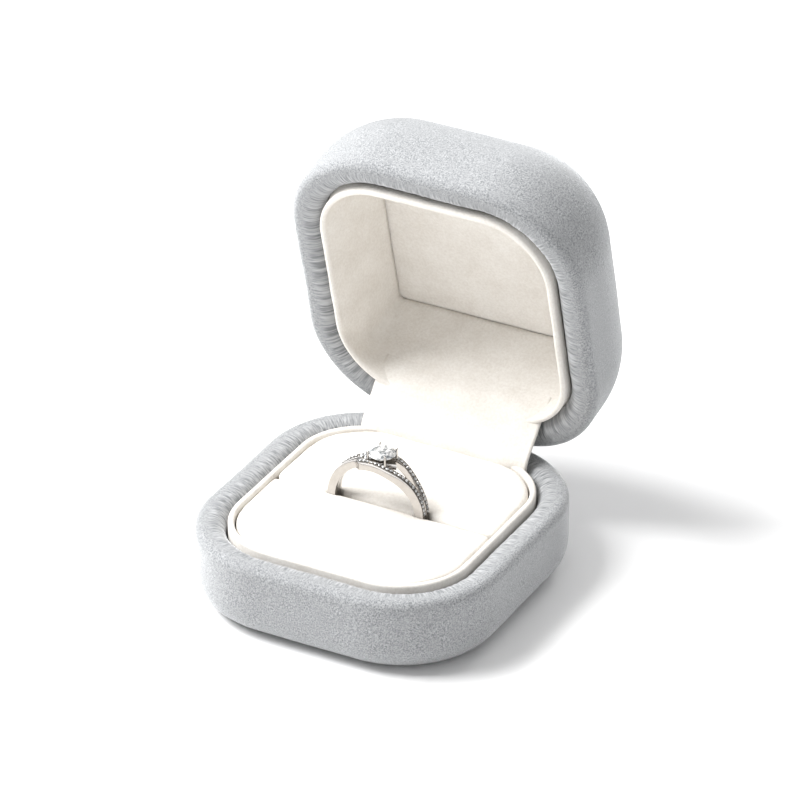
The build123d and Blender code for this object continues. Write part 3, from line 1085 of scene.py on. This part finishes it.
for vertex in ringPlate.data.vertices:
    x = vertex.co.x / mm - ring["x"] - plate["middleX"]
    vertex.co.y = math.copysign(plateHalfWidth(x), vertex.co.y) * mm
raiseWall(ringPlate, plate["thickness"])
applyModifier(
    ringPlate, "BEVEL", width=plate["edge"] * mm, segments=2,
    limit_method="ANGLE", angle_limit=math.radians(60),
)
useMaterial(ringPlate, whiteGold)
# the plate's top, under its small stones, takes the dark setting: painted shade between the stones
ringPlate.data.materials.append(paintedShadeSetting)
for polygon in ringPlate.data.polygons:
    if polygon.normal.z > 0.95 and len(polygon.vertices) > 8:
        polygon.material_index = 1


def ringDrop(x):
    # how far the ring's outer curve has fallen at x
    return ring["outer"] - math.sqrt(ring["outer"] ** 2 - (x - ring["x"]) ** 2)


# cut across, the plate then bends down along the ring
openEdit(ringPlate)
for index in range(1, plate["bends"]):
    cutX = ring["x"] + plate["middleX"] + plate["halfLength"] * (2 * index / plate["bends"] - 1)
    bpy.ops.mesh.select_all(action="SELECT")
    bpy.ops.mesh.bisect(plane_co=(cutX * mm, 0, 0), plane_no=(1, 0, 0))
closeEdit()
for vertex in ringPlate.data.vertices:
    vertex.co.z -= ringDrop(vertex.co.x / mm) * mm
shadeByAngle(ringPlate, 25)

# The round stone: a girdle of 16 sides, crown facets turned half a side, a table and a point.
stone = {
    "x": -0.05,
    "girdle": 25.78,
    "radius": 2.55,
    "sides": 16,
    "crownHeight": 0.52,
    "crownScale": 0.78,
    "tableHeight": 0.3,
    "tableScale": 0.74,
    "middleDepth": -1.0,
    "middleScale": 0.52,
    "pointDepth": -0.85,
}


def cutStone(name, place, size):
    deselectAll()
    bpy.ops.mesh.primitive_circle_add(
        vertices=size["sides"], radius=size["radius"] * mm, fill_type="NGON", location=place
    )
    gem = bpy.context.object
    gem.name = name
    bpy.ops.object.transform_apply(location=True, rotation=True, scale=True)
    raiseWall(gem, 0.12 * size["radius"] / 2.6)
    turn = math.pi / size["sides"]
    for upward, tiers in (
        (True, ((size["crownHeight"], size["crownScale"]), (size["tableHeight"], size["tableScale"]))),
        (False, ((size["middleDepth"], size["middleScale"]), (size["pointDepth"], 0.02))),
    ):
        openEdit(gem)
        pickCap(gem, upward)
        for rise, shrink in tiers:
            bpy.ops.mesh.extrude_region_move(TRANSFORM_OT_translate={"value": (0, 0, rise * mm)})
            bpy.ops.transform.resize(value=(shrink, shrink, 1), center_override=place)
            bpy.ops.transform.rotate(value=turn, orient_axis="Z", center_override=place)
        closeEdit()
    openEdit(gem)
    bpy.ops.mesh.select_all(action="SELECT")
    bpy.ops.mesh.normals_make_consistent(inside=False)
    bpy.ops.mesh.quads_convert_to_tris()
    closeEdit()
    return gem


centreStone = cutStone("centreStone", (stone["x"] * mm, 0, stone["girdle"] * mm), stone)
useMaterial(centreStone, clearStone)

# Four tapered claws with ball tips, and the collet that they stand on.
claw = {
    "radius": 0.17,
    "foot": 24.5,
    "tip": 26.4,
    "ball": 0.24,
    "lean": 0.05,
    "turn": 38.0,
    "colletFoot": 1.3,
    "colletInset": 0.25,
    "colletHeight": 1.35,
    "colletDrop": 0.85,
}
deselectAll()
clawParts = []
for index in range(4):
    angle = math.radians(claw["turn"] + 90 * index)
    reach = stone["radius"] + claw["lean"]
    foot = (stone["x"] + reach * math.cos(angle), reach * math.sin(angle))
    height = claw["tip"] - claw["foot"]
    bpy.ops.mesh.primitive_cone_add(
        vertices=16, radius1=claw["radius"] * 1.25 * mm, radius2=claw["radius"] * 0.9 * mm,
        depth=height * mm, location=(foot[0] * mm, foot[1] * mm, (claw["foot"] + height / 2) * mm),
    )
    clawParts.append(bpy.context.object)
    bpy.ops.mesh.primitive_ico_sphere_add(
        subdivisions=3, radius=claw["ball"] * mm, location=(foot[0] * mm, foot[1] * mm, claw["tip"] * mm),
    )
    clawParts.append(bpy.context.object)
bpy.ops.mesh.primitive_cone_add(
    vertices=48, radius1=claw["colletFoot"] * mm, radius2=(stone["radius"] - claw["colletInset"]) * mm,
    depth=claw["colletHeight"] * mm,
    location=(stone["x"] * mm, 0, (stone["girdle"] - claw["colletDrop"]) * mm),
)
clawParts.append(bpy.context.object)
deselectAll()
for part in clawParts:
    part.select_set(True)
bpy.context.view_layer.objects.active = clawParts[0]
bpy.ops.object.join()
ringClaws = bpy.context.object
ringClaws.name = "ringClaws"
bpy.ops.object.transform_apply(location=True, rotation=True, scale=True)
useMaterial(ringClaws, whiteGold)
shadeByAngle(ringClaws, 40)

# Small stones: one is cut, and each copy is set on the strands or the plate.
small = {
    "radius": pave["radius"],
    "sides": 8,
    "crownHeight": pave["crown"],
    "crownScale": pave["table"] / pave["radius"],
    "tableHeight": 0.02,
    "tableScale": 0.9,
    "middleDepth": -0.15,
    "middleScale": 0.7,
    "pointDepth": -pave["point"] / 2,
}
template = cutStone("smallStone", (0, 0, 0), small)
seats = []
for side in (-1, 1):
    for low, high in (pave["right"],) + ((pave["left"],) if side > 0 else ()):
        for index in range(int((high - low) / pave["pitch"]) + 1):
            angle = math.radians(low + index * pave["pitch"])
            out = Vector((math.sin(angle), 0, math.cos(angle)))
            spot = Vector((ring["x"], 0, ring["z"])) + out * (ring["outer"] + pave["lift"])
            spot.y = side * strandShift(spot.x - ring["x"], spot.z - ring["z"])
            seats.append((spot, out))
pitch = 2 * pave["radius"] + 0.06
for row in range(-4, 5):
    for column in range(-6, 7):
        x = (column + 0.5 * (row % 2)) * pitch
        y = row * pitch * 0.87
        fromStone = math.hypot(x + ring["x"] + plate["middleX"] - stone["x"], y)
        if abs(y) < plateHalfWidth(x) - 0.38 and fromStone > 2.1:
            spot = Vector((x + ring["x"] + plate["middleX"], y, plate["top"] + pave["lift"]))
            spot.z -= ringDrop(spot.x)
            seats.append((spot, Vector((spot.x - ring["x"], 0, ring["outer"])).normalized()))
gems = []
for spot, out in seats:
    gem = template.copy()
    gem.data = template.data.copy()
    bpy.context.scene.collection.objects.link(gem)
    gem.matrix_world = Matrix.Translation(spot * mm) @ out.to_track_quat("Z", "Y").to_matrix().to_4x4()
    gems.append(gem)
deselectAll()
for gem in gems:
    gem.select_set(True)
bpy.context.view_layer.objects.active = gems[0]
bpy.ops.object.join()
paveStones = bpy.context.object
paveStones.name = "paveStones"
bpy.ops.object.transform_apply(location=True, rotation=True, scale=True)
useMaterial(paveStones, smallStone)
bpy.data.objects.remove(template)
for piece, node, slot in (
    (strands[0], None, "silver"),
    (strands[1], None, "silver"),
    (ringPlate, "ring_head", "silver"),
    (ringClaws, None, "silver"),
    (centreStone, "centre_stone", "stone"),
    (paveStones, "pave_stones", "stone"),
):
    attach(piece, "ring")
    if node:
        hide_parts(node)
print("stage: ring made, small stones:", len(seats))

deselectAll()
bpy.ops.mesh.primitive_plane_add(size=4, location=(0, 0, 0))
floor = bpy.context.object
floor.name = "floor"
# White paper, uncoated: matt and even.
floorMaterial, floorTree, floorShader = startMaterial("whitePaperSweep", 0.9)
floorShader.inputs["Base Color"].default_value = linear("#f8f8f8")
useMaterial(floor, floorMaterial)

light = {
    "worldColour": "#ffffff",
    "worldStrength": 0.5,
    "keyPlace": (-0.4, -0.12, 0.56),
    "keySize": 0.45,
    "keyPower": 9.5,
    "backPlace": (0.05, 0.55, 0.45),
    "backSize": 0.4,
    "backPower": 1.5,
}


def addSoftBox(name, place, size, power):
    bpy.ops.object.light_add(type="AREA", location=place)
    lamp = bpy.context.object
    lamp.name = name
    lamp.data.size = size
    lamp.data.energy = power
    aim = Vector((0, 0.005, 0.03)) - Vector(place)
    lamp.rotation_euler = aim.to_track_quat("-Z", "Y").to_euler()


addSoftBox("keySoftBox", light["keyPlace"], light["keySize"], light["keyPower"])
addSoftBox("backSoftBox", light["backPlace"], light["backSize"], light["backPower"])
world = bpy.data.worlds.new("studio")
world.use_nodes = True
world.node_tree.nodes["Background"].inputs["Color"].default_value = linear(light["worldColour"])
world.node_tree.nodes["Background"].inputs["Strength"].default_value = light["worldStrength"]
bpy.context.scene.world = world
bpy.context.scene.view_settings.view_transform = "Standard"

view = {
    "azimuth": 28.319,
    "elevation": 29.912,
    "distance": 1056.876,
    "target": (0.357, 5.869, 33.913),
    "lens": 266.22,
}
azimuth = math.radians(view["azimuth"])
elevation = math.radians(view["elevation"])
outward = Vector((
    math.sin(azimuth) * math.cos(elevation),
    -math.cos(azimuth) * math.cos(elevation),
    math.sin(elevation),
))
bpy.ops.object.camera_add(location=(Vector(view["target"]) + outward * view["distance"]) * mm)
camera = bpy.context.object
camera.rotation_euler = (-outward).to_track_quat("-Z", "Y").to_euler()
camera.data.lens = view["lens"]
camera.data.sensor_width = 36
camera.data.clip_start = 0.01
bpy.context.scene.camera = camera
print("stage: floor, light and camera set")

deselectAll()
